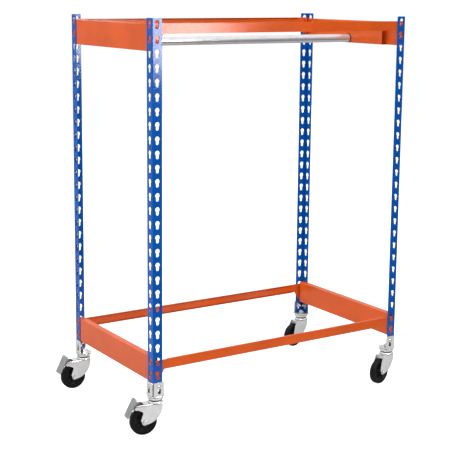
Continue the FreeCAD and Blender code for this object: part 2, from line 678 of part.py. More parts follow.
def brake_pin():
    half = FORK_WIDTH / 2
    pin = rod(BRAKE_PIN_RADIUS, (BRAKE_PIN_X, -half, BRAKE_PIN_Z), (BRAKE_PIN_X, half, BRAKE_PIN_Z))
    heads = []
    for side in (-1, 1):
        seat = (BRAKE_PIN_X, side * half, BRAKE_PIN_Z)
        heads.append(rod(BRAKE_PIN_RADIUS + 2.0, seat, (BRAKE_PIN_X, side * (half + 1.5), BRAKE_PIN_Z)))
    return pin.fuse(heads)


def make_casters():
    nuts = []
    for name, side_x, side_y, swivel, braked in CORNERS:
        pivot = Vector(side_x * (HALF_LENGTH - PIVOT_INSET), side_y * (HALF_DEPTH - PIVOT_INSET), 0)

        def placed(shape):
            result = shape.copy()
            result.rotate(ORIGIN, Z_AXIS, swivel)
            result.translate(pivot)
            return result

        save(placed(race_cap()), "race_cap_" + name)
        save(placed(kingpin()), "kingpin_" + name)
        save(placed(swivel_balls()), "swivel_balls_" + name)
        save(placed(fork(braked)), "fork_" + name)
        save(placed(axle()), "axle_" + name)
        save(placed(wheel_core()), "wheel_core_" + name)
        save(placed(tyre()), "tyre_" + name)
        nuts.append(placed(kingpin_nut()))
        if braked:
            save(placed(brake_pedal()), "brake_pedal_" + name)
            save(placed(brake_shoe()), "brake_shoe_" + name)
            save(placed(brake_pin()), "brake_pin_" + name)
    save(Part.makeCompound(nuts), "kingpin_nuts")


make_uprights()
make_beams()
make_rivets()
make_garment_tube()
make_brackets()
make_casters()
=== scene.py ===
"""Looks of the rolling clothes rack around its CAD frame: coatings, rubber, plating, studio and camera.

Lengths are in metres. A profile is a list of (radius, height) points that lathe() turns about Z.
"""
import json
import math

import bmesh
import bpy
from mathutils import Matrix, Vector


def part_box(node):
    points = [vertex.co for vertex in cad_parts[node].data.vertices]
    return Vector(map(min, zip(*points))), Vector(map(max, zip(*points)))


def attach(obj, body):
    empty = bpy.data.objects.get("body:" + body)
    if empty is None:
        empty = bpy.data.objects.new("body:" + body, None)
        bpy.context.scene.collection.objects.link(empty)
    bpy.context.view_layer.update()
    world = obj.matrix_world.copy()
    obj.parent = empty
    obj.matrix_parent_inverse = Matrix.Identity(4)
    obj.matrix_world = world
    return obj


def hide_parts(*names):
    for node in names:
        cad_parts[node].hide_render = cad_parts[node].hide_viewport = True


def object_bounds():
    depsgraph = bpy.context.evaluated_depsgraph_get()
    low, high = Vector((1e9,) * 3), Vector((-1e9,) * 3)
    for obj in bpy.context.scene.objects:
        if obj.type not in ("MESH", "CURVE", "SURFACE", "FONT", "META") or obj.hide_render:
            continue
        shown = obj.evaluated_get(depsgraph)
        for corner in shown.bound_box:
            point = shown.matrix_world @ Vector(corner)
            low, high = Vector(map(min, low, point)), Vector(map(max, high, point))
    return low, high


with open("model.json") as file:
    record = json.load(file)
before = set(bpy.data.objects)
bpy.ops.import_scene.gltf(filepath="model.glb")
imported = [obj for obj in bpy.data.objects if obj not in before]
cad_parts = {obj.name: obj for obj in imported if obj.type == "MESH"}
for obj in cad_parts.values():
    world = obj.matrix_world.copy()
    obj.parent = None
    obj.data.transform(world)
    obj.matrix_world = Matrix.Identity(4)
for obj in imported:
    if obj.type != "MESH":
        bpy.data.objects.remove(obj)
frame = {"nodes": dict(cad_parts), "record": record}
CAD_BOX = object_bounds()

NODES = frame["nodes"]
RECORD = frame["record"]

# ---------------------------------------------------------------- sizes
# Camera: lens and sensor are in millimetres, the shift is in picture widths.
CAMERA_PLACE = Vector((-2.5087, -3.7781, 1.5879))
CAMERA_YAW = math.radians(33.02)
CAMERA_PITCH = math.radians(9.83)
CAMERA_ROLL = math.radians(0.50)
CAMERA_LENS = 91.28
CAMERA_SENSOR = 36.0
CAMERA_SHIFT = -0.08
CAMERA_REACH = 100.0

# Fasteners: heights run down from the top of the head.
STUD_HEAD = 0.0070                  # radii of a stud's head, shank and waist
STUD_SHANK = 0.0055
STUD_WAIST = 0.0040
STUD_HEAD_BACK = -0.0022
STUD_SHANK_END = -0.0042
STUD_TAIL = 0.0010                  # length of the upset tail
BOLT_RADIUS = 0.0040
BOLT_SOCKET = -0.0016
BOLT_HEAD_BACK = -0.0035
BOLT_PLAIN_END = -0.0120
BOLT_THREAD_START = -0.0115
BOLT_HOLE = 0.0041                  # radius of the hole in what a bolt goes through
THREAD_PITCH = 0.00125
THREAD_ROOT = 0.86                  # share of the bolt's radius
AXLE_SHANK = 0.0020                 # how far an axle's plain shank and its thread reach beyond the fork
AXLE_THREAD = (0.0015, 0.0085)
HEX_FLATS = 0.0130
HEX_HEIGHT = 0.0053
HEX_CHAMFER = 0.0011
FLANGE_RISE = 0.0014                # where the hexagon of a flanged nut starts
KINGPIN_FLATS = 0.0190
KINGPIN_HOLE = 0.0061
WASHER_RADIUS = 0.0080
WASHER_HEIGHT = 0.0012
WASHER_EASE = 0.0003
TUBE_WALL = 0.0015
TUBE_EASE = 0.0004

# Casters: the axles, pins and outer radii come from the frame.
TYRE_HALF = 0.0120                  # half widths of the tyre, hub, rim and web
HUB_HALF = 0.0175
RIM_HALF = 0.0110
WEB_HALF = 0.0042
TYRE_SHOULDER = 0.0055
WHEEL_RIBS = 8
WHEEL_RIB_HALF = 0.0011
FORK_HALF = 0.0210                  # half width over the cheeks
FORK_SHEET = 0.0025
FORK_ROOF = 0.0030
FORK_BEND = 0.0045
FORK_INNER_BEND = 0.0020
FORK_BLANK_LOW = 0.030              # the pressed blank, before it is trimmed to its side outline
FORK_BLANK_REACH = (-0.030, 0.105)
FORK_EYE = 0.0110
FORK_NOSE = 0.0078
MOUTH_BACK = 0.060                  # a braked fork's opening for its pedal, behind the axle
MOUTH_FRONT = 0.003
MOUTH_DEPTH = 0.030
RACE_RISE = 0.0060                  # height of the lower race over the fork's roof
RACE_INSET = 0.0020
BALL_RADIUS = 0.0030

# Brake pedals: the ends of the plate are (x, z) from the axle.
PEDAL_TOP = (-0.0325, 0.088)
PEDAL_FOOT = (-0.0660, 0.021)
PEDAL_HALF = 0.0230
PEDAL_SHEET = 0.0030
PEDAL_CORNER = 0.0070
PEDAL_EASE = 0.0006
PEDAL_RIBS = 12
PEDAL_FIRST_RIB = 0.0052
PEDAL_RIB_MARGIN = 0.0100
PEDAL_RIB_HEIGHT = 0.0014
PEDAL_RIB_HALF = 0.0017
PEDAL_LIP = 0.0100                  # length of the lip that is bent back, and how sharply it bends
PEDAL_LIP_BEND = 22.0
PEDAL_ROWS = 150
PEDAL_COLUMNS = [-1.0, -0.985, -0.93, -0.88, -0.5, 0.0, 0.5, 0.88, 0.93, 0.985, 1.0]
EAR_OUTER = 0.0170
EAR_SHEET = 0.0025
EAR_ROUND = 0.0070
EAR_HOLE = 0.0031
EAR_SPAN = (0.014, 0.042)           # where the ears join the plate, along it
EAR_SINK = 0.0020

# Shading
ROUNDING_SAMPLES = 4
CREVICE_SAMPLES = 8
EDGE_LEAN = (0.97, 0.75)            # agreement of rounded and true normals: on a flat face, on an edge
EDGE_FILM = 0.0012
PAINT_EASE = 0.0008
PLATE_EASE = 0.0006
# painted shade in crevices: reach of the occlusion test, and the occlusion levels where the darkening is
# full and where it ends
CREVICE_REACH = 0.012
CREVICE_CLOSED = 0.34
PAINT_CLEAR = 0.80
PLATE_CLEAR = 0.74
# painted shade: the near-black that stands in for the shadow on the uprights inside the bracket legs
LEG_SHADE_COLOUR = (0.006, 0.007, 0.012, 1)
LEG_SHADE_FACING = (0.15, 0.20)        # how far out a face's plane is: an inward face, an outward one
LEG_SHADE_FADE = 0.002
DRIFT_SCALE = 7.0                   # noise scales, in features per metre
FLECK_SCALE = 1500.0
WEAR_SCALE = 60.0
GLOSS_SCALE = 90.0
PEEL_SCALE = 420.0
CLOUD_SCALE = 38.0
LINE_SCALE = 600.0
BLOOM_SCALE = 55.0
FLOOR_SCALE = 0.7
HALVES = (0.35, 0.65)               # where a noise is cut so that it covers about half
WHITE = (1, 1, 1, 1)

# Meshes
SMOOTH_ANGLE = math.radians(38.0)
BEVEL_ANGLE = math.radians(40.0)
WELD = 1e-6
FINE_WELD = 1e-7
PAST = 0.001                        # how far a cutter runs past what it cuts
PRESSED_BEVEL = 0.0005
EAR_BEVEL = 0.0004
TUBE_SEGMENTS = 128                 # segments round the turned parts
WHEEL_SEGMENTS = 96
HUB_SEGMENTS = 72
BOLT_SEGMENTS = 48
STUD_SEGMENTS = 40
PIN_SEGMENTS = 32
CURVE_STEPS = 4                     # steps between the points of a smooth path


# ---------------------------------------------------------------- camera
def make_camera():
    forward = Vector((math.sin(CAMERA_YAW) * math.cos(CAMERA_PITCH),
                      math.cos(CAMERA_YAW) * math.cos(CAMERA_PITCH),
                      -math.sin(CAMERA_PITCH)))
    level = Vector((math.cos(CAMERA_YAW), -math.sin(CAMERA_YAW), 0))
    upright = level.cross(forward)
    right = level * math.cos(CAMERA_ROLL) + upright * math.sin(CAMERA_ROLL)
    up = upright * math.cos(CAMERA_ROLL) - level * math.sin(CAMERA_ROLL)
    data = bpy.data.cameras.new("camera")
    data.lens = CAMERA_LENS
    data.sensor_width = CAMERA_SENSOR
    data.shift_y = CAMERA_SHIFT
    data.clip_end = CAMERA_REACH
    camera = bpy.data.objects.new("camera", data)
    bpy.context.scene.collection.objects.link(camera)
    turn = Matrix((right, up, -forward)).transposed().to_4x4()
    camera.matrix_world = Matrix.Translation(CAMERA_PLACE) @ turn
    bpy.context.scene.camera = camera


# ---------------------------------------------------------------- shader helpers
def new_material(name):
    material = bpy.data.materials.new(name)
    material.use_nodes = True
    tree = material.node_tree
    return material, tree, tree.nodes["Principled BSDF"]


def put(tree, socket, value):
    """Link a value to a socket if it is a socket itself, or else set it there."""
    if isinstance(value, bpy.types.NodeSocket):
        tree.links.new(value, socket)
    else:
        socket.default_value = value


def add(tree, kind, settings=None, **inputs):
    """Add a node with its settings and its inputs, whose names have _ for each space."""
    made = tree.nodes.new(kind)
    for key, value in (settings or {}).items():
        setattr(made, key, value)
    for key, value in inputs.items():
        put(tree, made.inputs[key.replace("_", " ")], value)
    return made


def object_coordinates(tree, scale=(1, 1, 1)):
    place = add(tree, "ShaderNodeTexCoord")
    mapping = add(tree, "ShaderNodeMapping", Vector=place.outputs["Object"], Scale=scale)
    return mapping.outputs["Vector"]


def noise(tree, coordinates, scale, detail=2.0):
    """The factor of a noise texture, which is its first output."""
    return add(tree, "ShaderNodeTexNoise", Vector=coordinates, Scale=scale, Detail=detail).outputs[0]


def ramp(tree, factor, low, high):
    """Rescale a factor so that low becomes 0 and high becomes 1, held at the ends."""
    made = add(tree, "ShaderNodeMapRange", Value=factor, From_Min=low, From_Max=high)
    return made.outputs["Result"]


def span(tree, factor, low, high):
    """Rescale a 0 to 1 factor to run from low to high."""
    made = add(tree, "ShaderNodeMapRange", Value=factor, To_Min=low, To_Max=high)
    return made.outputs["Result"]


def mix(tree, factor, first, second):
    """Mix two colours, which are inputs 6 and 7 and output 2 of a mix node."""
    made = add(tree, "ShaderNodeMix", {"data_type": "RGBA"})
    put(tree, made.inputs[0], factor)
    put(tree, made.inputs[6], first)
    put(tree, made.inputs[7], second)
    return made.outputs[2]


def multiply(tree, first, second):
    made = add(tree, "ShaderNodeMath", {"operation": "MULTIPLY"})
    put(tree, made.inputs[0], first)
    put(tree, made.inputs[1], second)
    return made.outputs[0]


def dot(tree, first, second):
    made = add(tree, "ShaderNodeVectorMath", {"operation": "DOT_PRODUCT"})
    put(tree, made.inputs[0], first)
    put(tree, made.inputs[1], second)
    return made.outputs["Value"]


def rounded_normal(tree, radius):
    return add(tree, "ShaderNodeBevel", {"samples": ROUNDING_SAMPLES}, Radius=radius).outputs["Normal"]


def edge_mask(tree):
    """1 on sharp edges and 0 on flat faces, from how far a rounded normal leans from the true one."""
    true = add(tree, "ShaderNodeNewGeometry")
    lean = dot(tree, rounded_normal(tree, EDGE_FILM), true.outputs["Normal"])
    return ramp(tree, lean, *EDGE_LEAN)


def openness(tree, clear):
    """0 in crevices and 1 in the open, from how much of the surroundings is blocked nearby; the mask of the
    shade painted into crevices.
    """
    nearby = add(tree, "ShaderNodeAmbientOcclusion", {"samples": CREVICE_SAMPLES}, Distance=CREVICE_REACH)
    return ramp(tree, nearby.outputs["AO"], CREVICE_CLOSED, clear)


def bump(tree, height, strength, distance):
    return add(tree, "ShaderNodeBump", Height=height, Strength=strength, Distance=distance)


def scaled(colour, share, lift=0.0):
    """A darker or lighter version of a colour."""
    return [channel * share + lift for channel in colour[:3]] + [1]


# ---------------------------------------------------------------- materials
def leg_shade_mask(tree, top):
    """1 on the outward faces below a height, where the bracket legs are clamped over the paint: the mask of
    the shade painted there.
    """
    here = add(tree, "ShaderNodeNewGeometry")
    parts = add(tree, "ShaderNodeSeparateXYZ", Vector=here.outputs["Position"])
    facing = dot(tree, here.outputs["Position"], here.outputs["True Normal"])
    outward = ramp(tree, facing, *LEG_SHADE_FACING)
    low = ramp(tree, parts.outputs["Z"], top, top - LEG_SHADE_FADE)
    return multiply(tree, outward, low)


def powder_coat(name, colour, thin_colour, roughness, shine, leg_shade_below=None):
    """Powder coat: orange peel, faint tone drift, a thinner, paler film on the sheet's edges, painted shade
    in crevices and, where asked, under the bracket legs.
    """
    material, tree, shader = new_material(name)
    place = object_coordinates(tree)
    drift = ramp(tree, noise(tree, place, DRIFT_SCALE, 3.0), *HALVES)
    tone = mix(tree, drift, scaled(colour, 0.86), colour)
    fleck = ramp(tree, noise(tree, place, FLECK_SCALE, 1.0), 0.62, 0.75)
    tone = mix(tree, multiply(tree, fleck, 0.05), tone, thin_colour)
    worn = multiply(tree, edge_mask(tree), ramp(tree, noise(tree, place, WEAR_SCALE), 0.3, 0.6))
    tone = mix(tree, multiply(tree, worn, 0.55), tone, thin_colour)
    # painted shade: in crevices the colour falls to a tenth of itself
    tone = mix(tree, openness(tree, PAINT_CLEAR), scaled(colour, 0.10), tone)
    # painted shade: the outward faces inside the bracket legs turn near black, for the shadow there
    if leg_shade_below is not None:
        tone = mix(tree, leg_shade_mask(tree, leg_shade_below), tone, LEG_SHADE_COLOUR)
    put(tree, shader.inputs["Base Color"], tone)
    gloss = noise(tree, place, GLOSS_SCALE)
    put(tree, shader.inputs["Roughness"], span(tree, gloss, roughness * 0.8, roughness * 1.25))
    peel = bump(tree, noise(tree, place, PEEL_SCALE, 1.0), 0.25, 0.0003)
    put(tree, peel.inputs["Normal"], rounded_normal(tree, PAINT_EASE))
    put(tree, shader.inputs["Normal"], peel.outputs["Normal"])
    shader.inputs["Specular IOR Level"].default_value = shine
    return material


def plated(name, dark, light, low_rough, high_rough, metallic, stretch=(1, 1, 1)):
    """Plated metal: cloudy tone, fine lines drawn along the stretch, uneven gloss and painted shade in
    crevices.
    """
    material, tree, shader = new_material(name)
    cloud = ramp(tree, noise(tree, object_coordinates(tree), CLOUD_SCALE, 4.0), *HALVES)
    drawn = noise(tree, object_coordinates(tree, stretch), LINE_SCALE)
    tone = mix(tree, cloud, dark, light)
    # painted shade: in crevices the colour falls towards 6 percent of the dark tone
    tone = mix(tree, openness(tree, PLATE_CLEAR), scaled(dark, 0.06), tone)
    put(tree, shader.inputs["Base Color"], tone)
    shader.inputs["Metallic"].default_value = metallic
    put(tree, shader.inputs["Roughness"], span(tree, drawn, low_rough, high_rough))
    lines = bump(tree, drawn, 0.12, 0.0001)
    put(tree, lines.inputs["Normal"], rounded_normal(tree, PLATE_EASE))
    put(tree, shader.inputs["Normal"], lines.outputs["Normal"])
    return material


def moulded(name, colour, low_rough, high_rough, grain, depth):
    """Moulded rubber or plastic: fine grain, a dusty bloom in places and uneven sheen."""
    material, tree, shader = new_material(name)
    place = object_coordinates(tree)
    bloom = ramp(tree, noise(tree, place, BLOOM_SCALE, 4.0), 0.45, 0.8)
    put(tree, shader.inputs["Base Color"], mix(tree, bloom, colour, scaled(colour, 1.8, 0.003)))
    put(tree, shader.inputs["Roughness"], span(tree, bloom, low_rough, high_rough))
    skin = bump(tree, noise(tree, place, grain, 3.0), 0.3, depth)
    put(tree, shader.inputs["Normal"], skin.outputs["Normal"])
    shader.inputs["Specular IOR Level"].default_value = 0.2
    return material


def make_materials():
    """Every finish by name: the record's material slots, and a darker, redder copy of the orange for the
    studs, which paints shade on them.
    """
    leg_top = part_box("caster_bracket_front_left")[1].z
    # Paint: full and thin colour, roughness, shine. Plating: dark and light colour, lowest and highest
    # roughness, metallic share, stretch. Moulding: colour, lowest and highest roughness, grain, its depth.
    finishes = {
        # the blue paint's last entry is the height below which shade is painted under the bracket legs
        "blue_paint": (powder_coat, (0.002, 0.092, 0.42, 1), (0.02, 0.16, 0.55, 1), 0.12, 0.38,
                       leg_top - LEG_SHADE_FADE),
        "orange_paint": (powder_coat, (0.72, 0.101, 0.012, 1), (0.80, 0.20, 0.05, 1), 0.17, 0.38),
        # painted shade: the studs get a darker, glossier copy of the orange paint
        "stud_paint": (powder_coat, (0.56, 0.042, 0.012, 1), (0.66, 0.10, 0.04, 1), 0.10, 0.60),
        "chrome_tube": (plated, (0.66, 0.66, 0.67, 1), (0.74, 0.74, 0.75, 1), 0.14, 0.22, 0.60,
                        (0.02, 1, 1)),
        "bright_zinc": (plated, (0.82, 0.83, 0.83, 1), (0.90, 0.90, 0.89, 1), 0.16, 0.30, 0.85),
        "grey_zinc": (plated, (0.36, 0.38, 0.38, 1), (0.46, 0.48, 0.48, 1), 0.38, 0.55, 0.70),
        # painted shade: the balls are far darker than bare steel, for the shade inside the swivel head's gap
        "ball_steel": (plated, (0.10, 0.10, 0.095, 1), (0.20, 0.195, 0.19, 1), 0.15, 0.30, 1.0),
        "black_plastic": (moulded, (0.006, 0.006, 0.007, 1), 0.38, 0.55, 900.0, 0.0002),
        "tyre_rubber": (moulded, (0.003, 0.003, 0.003, 1), 0.48, 0.65, 700.0, 0.0003),
        "shoe_rubber": (moulded, (0.016, 0.016, 0.016, 1), 0.60, 0.75, 500.0, 0.0003),
    }
    return {name: make(name, *look) for name, (make, *look) in finishes.items()}


def coat_nodes():
    for part in RECORD["subparts"]:
        data = NODES[part["node"]].data
        data.materials.clear()
        data.materials.append(MATERIALS[part["material_slot"]])


# ---------------------------------------------------------------- mesh helpers
def clean(mesh, weld):
    bmesh.ops.remove_doubles(mesh, verts=mesh.verts[:], dist=weld)
    bmesh.ops.recalc_face_normals(mesh, faces=mesh.faces[:])


def mark_sharp(mesh):
    for face in mesh.faces:
        face.smooth = True
    for edge in mesh.edges:
        if len(edge.link_faces) == 2:
            edge.smooth = edge.calc_face_angle(0.0) < SMOOTH_ANGLE


def object_from(name, mesh):
    """Free a bmesh and link it as an object."""
    data = bpy.data.meshes.new(name)
    mesh.to_mesh(data)
    mesh.free()
    made = bpy.data.objects.new(name, data)
    bpy.context.scene.collection.objects.link(made)
    return made


def piece(name, mesh, slot, body, node, finish=None):
    """Turn a bmesh in the rack's frame into a piece that rides on a body and stands for a node."""
    clean(mesh, WELD)
    mark_sharp(mesh)
    made = object_from(name, mesh)
    made.data.materials.append(MATERIALS[finish or slot])
    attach(made, body)
    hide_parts(node)


def merge(target, source, place=None):
    """Copy one bmesh into another, moved by a matrix, and free the source."""
    if place is not None:
        source.transform(place)
    data = bpy.data.meshes.new("scratch")
    source.to_mesh(data)
    source.free()
    target.from_mesh(data)
    bpy.data.meshes.remove(data)


def level_ring(mesh, radii, height):
    """A ring of vertices at one height, one for each radius."""
    ring = []
    for step, radius in enumerate(radii):
        angle = 2 * math.pi * step / len(radii)
        ring.append(mesh.verts.new((radius * math.cos(angle), radius * math.sin(angle), height)))
    return ring


def join_rings(mesh, first, second):
    """Faces between two rings. A ring that is one vertex repeated gives triangles."""
    for step in range(len(first)):
        after = (step + 1) % len(first)
        corners = []
        for vert in (first[step], first[after], second[after], second[step]):
            if vert not in corners:
                corners.append(vert)
        if len(corners) > 2:
            mesh.faces.new(corners)


def lathe(profile, segments, closed=True):
    """Turn a profile about Z. A closed profile is the section of a ring."""
    mesh = bmesh.new()
    rings = []
    for radius, height in profile:
        if radius > 0:
            rings.append(level_ring(mesh, [radius] * segments, height))
        else:
            rings.append([mesh.verts.new((0, 0, height))] * segments)
    if closed:
        rings.append(rings[0])
    for first, second in zip(rings, rings[1:]):
        join_rings(mesh, first, second)
    return mesh


def plain_rod(radius, start, end, segments):
    return lathe([(0.0, start), (radius, start), (radius, end), (0.0, end)], segments, False)


def mirrored(profile):
    """A profile above z = 0 and its mirror image below, as one closed section."""
    return profile + [(radius, -height) for radius, height in reversed(profile)]


def extruded(outline, low, high):
    """Extrude a closed (x, z) outline from y = low to y = high."""
    mesh = bmesh.new()
    near = [mesh.verts.new((x, low, z)) for x, z in outline]
    far = [mesh.verts.new((x, high, z)) for x, z in outline]
    mesh.faces.new(near)
    mesh.faces.new(far[::-1])
    for step in range(len(outline)):
        after = (step + 1) % len(outline)
        mesh.faces.new((near[step], far[step], far[after], near[after]))
    return mesh


def smooth_path(points):
    """A Catmull-Rom curve through the points."""
    last = len(points) - 1
    path = []
    for index in range(last):
        four = [points[min(max(index + k, 0), last)] for k in (-1, 0, 1, 2)]
        for step in range(CURVE_STEPS):
            t = step / CURVE_STEPS
            place = []
            for p0, p1, p2, p3 in zip(*four):
                place.append(0.5 * (2 * p1 + (p2 - p0) * t + (2 * p0 - 5 * p1 + 4 * p2 - p3) * t * t
                                    + (3 * p1 - p0 - 3 * p2 + p3) * t * t * t))
            path.append(tuple(place))
    path.append(points[-1])
    return path


def arc(centre, radius, start, end, steps):
    """Points on an arc from one angle to another, in degrees."""
    points = []
    for step in range(steps + 1):
        angle = math.radians(start + (end - start) * step / steps)
        points.append((centre[0] + radius * math.cos(angle), centre[1] + radius * math.sin(angle)))
    return points


def cut_and_bevel(mesh, steps, bevel):
    """Apply (operation, cutter) booleans and a small bevel, and return the result as a bmesh."""
    clean(mesh, FINE_WELD)
    body = object_from("scratch", mesh)
    spent = [body]
    for operation, cutter in steps:
        clean(cutter, FINE_WELD)
        tool = object_from("scratch", cutter)
        spent.append(tool)
        modifier = body.modifiers.new("cut", "BOOLEAN")
        modifier.operation = operation
        modifier.object = tool
        modifier.solver = "EXACT"
    modifier = body.modifiers.new("bevel", "BEVEL")
    modifier.width = bevel
    modifier.segments = 2
    modifier.limit_method = "ANGLE"
    modifier.angle_limit = BEVEL_ANGLE
    modifier.use_clamp_overlap = True
    graph = bpy.context.evaluated_depsgraph_get()
    data = bpy.data.meshes.new_from_object(body.evaluated_get(graph))
    made = bmesh.new()
    made.from_mesh(data)
    bpy.data.meshes.remove(data)
    for item in spent:
        bpy.data.objects.remove(item)
    return made


def hexagon_head(flats, height, bore=0.0):
    """A hexagonal nut or bolt head on z = 0, with its corners turned off at the top."""
    apothem = flats / 2
    corner = apothem / math.cos(math.pi / 6)
    hexagon = []
    for step in range(HUB_SEGMENTS):
        angle = 2 * math.pi * step / HUB_SEGMENTS
        hexagon.append(apothem / math.cos((angle % (math.pi / 3)) - math.pi / 6))
    levels = [(0.0, corner), (height - HEX_CHAMFER, corner), (height - HEX_CHAMFER * 0.45, apothem * 1.07),
              (height, apothem * 0.96)]
    if bore:
        levels += [(height, bore * 1.12), (height - bore * 0.12, bore), (0.0, bore)]
    mesh = bmesh.new()
    rings = []
    for level, limit in levels:
        rings.append(level_ring(mesh, [min(flat, limit) for flat in hexagon], level))
    if bore:
        rings.append(rings[0])
    else:
        mesh.faces.new(rings[-1])
        mesh.faces.new(rings[0][::-1])
    for first, second in zip(rings, rings[1:]):
        join_rings(mesh, first, second)
    return mesh


def threaded(radius, start, end):
    """A rod with thread ridges between two heights and a chamfered end."""
    profile = [(0.0, start), (radius, start)]
    count = max(2, int((end - start - THREAD_PITCH) / THREAD_PITCH))
    for step in range(count):
        base = start + step * THREAD_PITCH
        profile.append((radius, base + THREAD_PITCH * 0.1))
        profile.append((radius * THREAD_ROOT, base + THREAD_PITCH * 0.55))
    profile += [(radius, end - THREAD_PITCH), (radius * 0.8, end), (0.0, end)]
    return lathe(profile, BOLT_SEGMENTS, False)


def solids_of(node):
    """The box of every separate solid in a CAD node."""
    mesh = bmesh.new()
    mesh.from_mesh(NODES[node].data)
    bmesh.ops.remove_doubles(mesh, verts=mesh.verts[:], dist=WELD)
    boxes = []
    seen = set()
    for start in mesh.verts:
        if start in seen:
            continue
        seen.add(start)
        solid = [start]
        for vert in solid:          # the list grows while neighbours are found
            for edge in vert.link_edges:
                other = edge.other_vert(vert)
                if other not in seen:
                    seen.add(other)
                    solid.append(other)
        low = Vector([min(vert.co[k] for vert in solid) for k in range(3)])
        high = Vector([max(vert.co[k] for vert in solid) for k in range(3)])
        boxes.append((low, high))
    mesh.free()
    return boxes


def outward_solids(node, slender):
    """Each solid of a node as its size, its length and a frame at its outer end with Z outwards.

    Its axis is the longer of its two level sides where it is slender, and the shorter where it is not.
    """
    found = []
    for low, high in solids_of(node):
        size = high - low
        along_x = size.x > size.y if slender else size.x < size.y
        axis = 0 if along_x else 1
        place = (low + high) / 2
        sign = 1.0 if place[axis] > 0 else -1.0
        place[axis] = high[axis] if sign > 0 else low[axis]
        outwards = Vector((0, 0, 0))
        outwards[axis] = sign
        turn = outwards.to_track_quat("Z", "Y").to_matrix().to_4x4()
        found.append((size, size[axis], Matrix.Translation(place) @ turn))
    return found


# ---------------------------------------------------------------- fasteners
def make_rivets():
    """Domed stud heads with a rolled rim, a shank through the slot and an upset tail."""
    whole = bmesh.new()
    head = [(0.0, 0.0), (0.0018, -0.00006), (0.0036, -0.00032), (0.0052, -0.0008), (0.0064, -0.0014),
            (STUD_HEAD, -0.0019), (STUD_HEAD, STUD_HEAD_BACK)]
    shank = [(STUD_SHANK, STUD_HEAD_BACK), (STUD_SHANK, STUD_SHANK_END), (STUD_WAIST, STUD_SHANK_END)]
    for _, length, seat in outward_solids("beam_rivets", slender=False):
        tail = [(STUD_WAIST, STUD_TAIL - length), (STUD_SHANK, STUD_TAIL * 0.8 - length),
                (STUD_SHANK * 0.92, -length), (0.0, -length)]
        merge(whole, lathe(head + shank + tail, STUD_SEGMENTS, False), seat)
    piece("rivet_heads", whole, "orange_paint", "frame", "beam_rivets", "stud_paint")


def make_bracket_bolts():
    """Domed bolts with a shallow socket and a threaded shank."""
    bolts = bmesh.new()
    for size, length, seat in outward_solids("bracket_bolts", slender=True):
        radius = size.z / 2
        profile = [(0.0, BOLT_SOCKET), (0.0021, BOLT_SOCKET), (0.0023, -0.0001), (0.0032, 0.0),
                   (0.0050, -0.0006), (0.0064, -0.0016), (radius, -0.0028), (radius, BOLT_HEAD_BACK),
                   (BOLT_RADIUS, BOLT_HEAD_BACK), (BOLT_RADIUS, BOLT_PLAIN_END), (0.0, BOLT_PLAIN_END)]
        merge(bolts, lathe(profile, BOLT_SEGMENTS, False), seat)
        merge(bolts, threaded(BOLT_RADIUS, -length, BOLT_THREAD_START), seat)
    piece("bracket_bolt_set", bolts, "bright_zinc", "frame", "bracket_bolts")


def make_bracket_nuts():
    """Flanged nuts inside the uprights, with their hexagons turned inwards."""
    nuts = bmesh.new()
    flange = [(BOLT_HOLE, 0.0), (0.0093, 0.0), (0.0095, 0.0004), (0.0090, 0.0012), (0.0072, 0.0017),
              (BOLT_HOLE, 0.0017)]
    for _, length, seat in outward_solids("bracket_nuts", slender=False):
        inwards = seat @ Matrix.Rotation(math.pi, 4, "X")
        merge(nuts, lathe(flange, BOLT_SEGMENTS), inwards)
        merge(nuts, hexagon_head(HEX_FLATS, length - FLANGE_RISE, BOLT_HOLE),
              inwards @ Matrix.Translation((0, 0, FLANGE_RISE)))
    piece("bracket_nut_set", nuts, "bright_zinc", "frame", "bracket_nuts")


def make_tube():
    """A round tube drawn finely enough for clean reflections, with eased ends."""
    low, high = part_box("garment_tube")
    radius = (high.z - low.z) / 2
    half = (high.x - low.x) / 2
    mesh = lathe([(radius - TUBE_WALL, -half), (radius - TUBE_EASE, -half), (radius, -half + TUBE_EASE),
                  (radius, half - TUBE_EASE), (radius - TUBE_EASE, half), (radius - TUBE_WALL, half)],
                 TUBE_SEGMENTS)
    mesh.transform(Matrix.Translation((low + high) / 2) @ Matrix.Rotation(math.pi / 2, 4, "Y"))
    piece("round_tube", mesh, "chrome_tube", "frame", "garment_tube")


# ---------------------------------------------------------------- casters
AROUND_AXLE = Matrix.Rotation(-math.pi / 2, 4, "X")


def joint_named(name):
    return next(joint for joint in RECORD["behaviour"]["joints"] if joint["name"] == name)


def caster_frame(corner):
    """The caster's own frame: origin on the floor under the swivel axis, the wheel behind along -X."""
    pivot = joint_named("swivel_" + corner)["pos_m"]
    axis = joint_named("roll_" + corner)["axis"]
    turn = math.atan2(-axis[0], axis[1])
    return Matrix.Translation((pivot[0], pivot[1], 0)) @ Matrix.Rotation(turn, 4, "Z")


def in_frame(corner, joint):
    """A joint's place in its caster's frame."""
    return caster_frame(corner).inverted() @ Vector(joint_named(joint + "_" + corner)["pos_m"])


def half_size(node, axis):
    low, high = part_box(node)
    return (high[axis] - low[axis]) / 2


def tyre_mesh(radius, core):
    """A solid tyre with rounded shoulders, side rings and a moulding line round the tread."""
    rings = [(0.0, 0.0012), (0.0006, 0.0004), (0.0016, 0.0004), (0.0019, 0.0010), (0.0024, 0.0010),
             (0.0027, 0.0001)]
    side = [(core + out, TYRE_HALF - down) for out, down in rings]
    shoulder = arc((radius - TYRE_SHOULDER, TYRE_HALF - TYRE_SHOULDER), TYRE_SHOULDER, 90, 0, 7)
    moulding_line = [(radius, 0.0009), (radius - 0.00035, 0.0004)]
    return lathe(mirrored(side + shoulder + moulding_line), WHEEL_SEGMENTS)


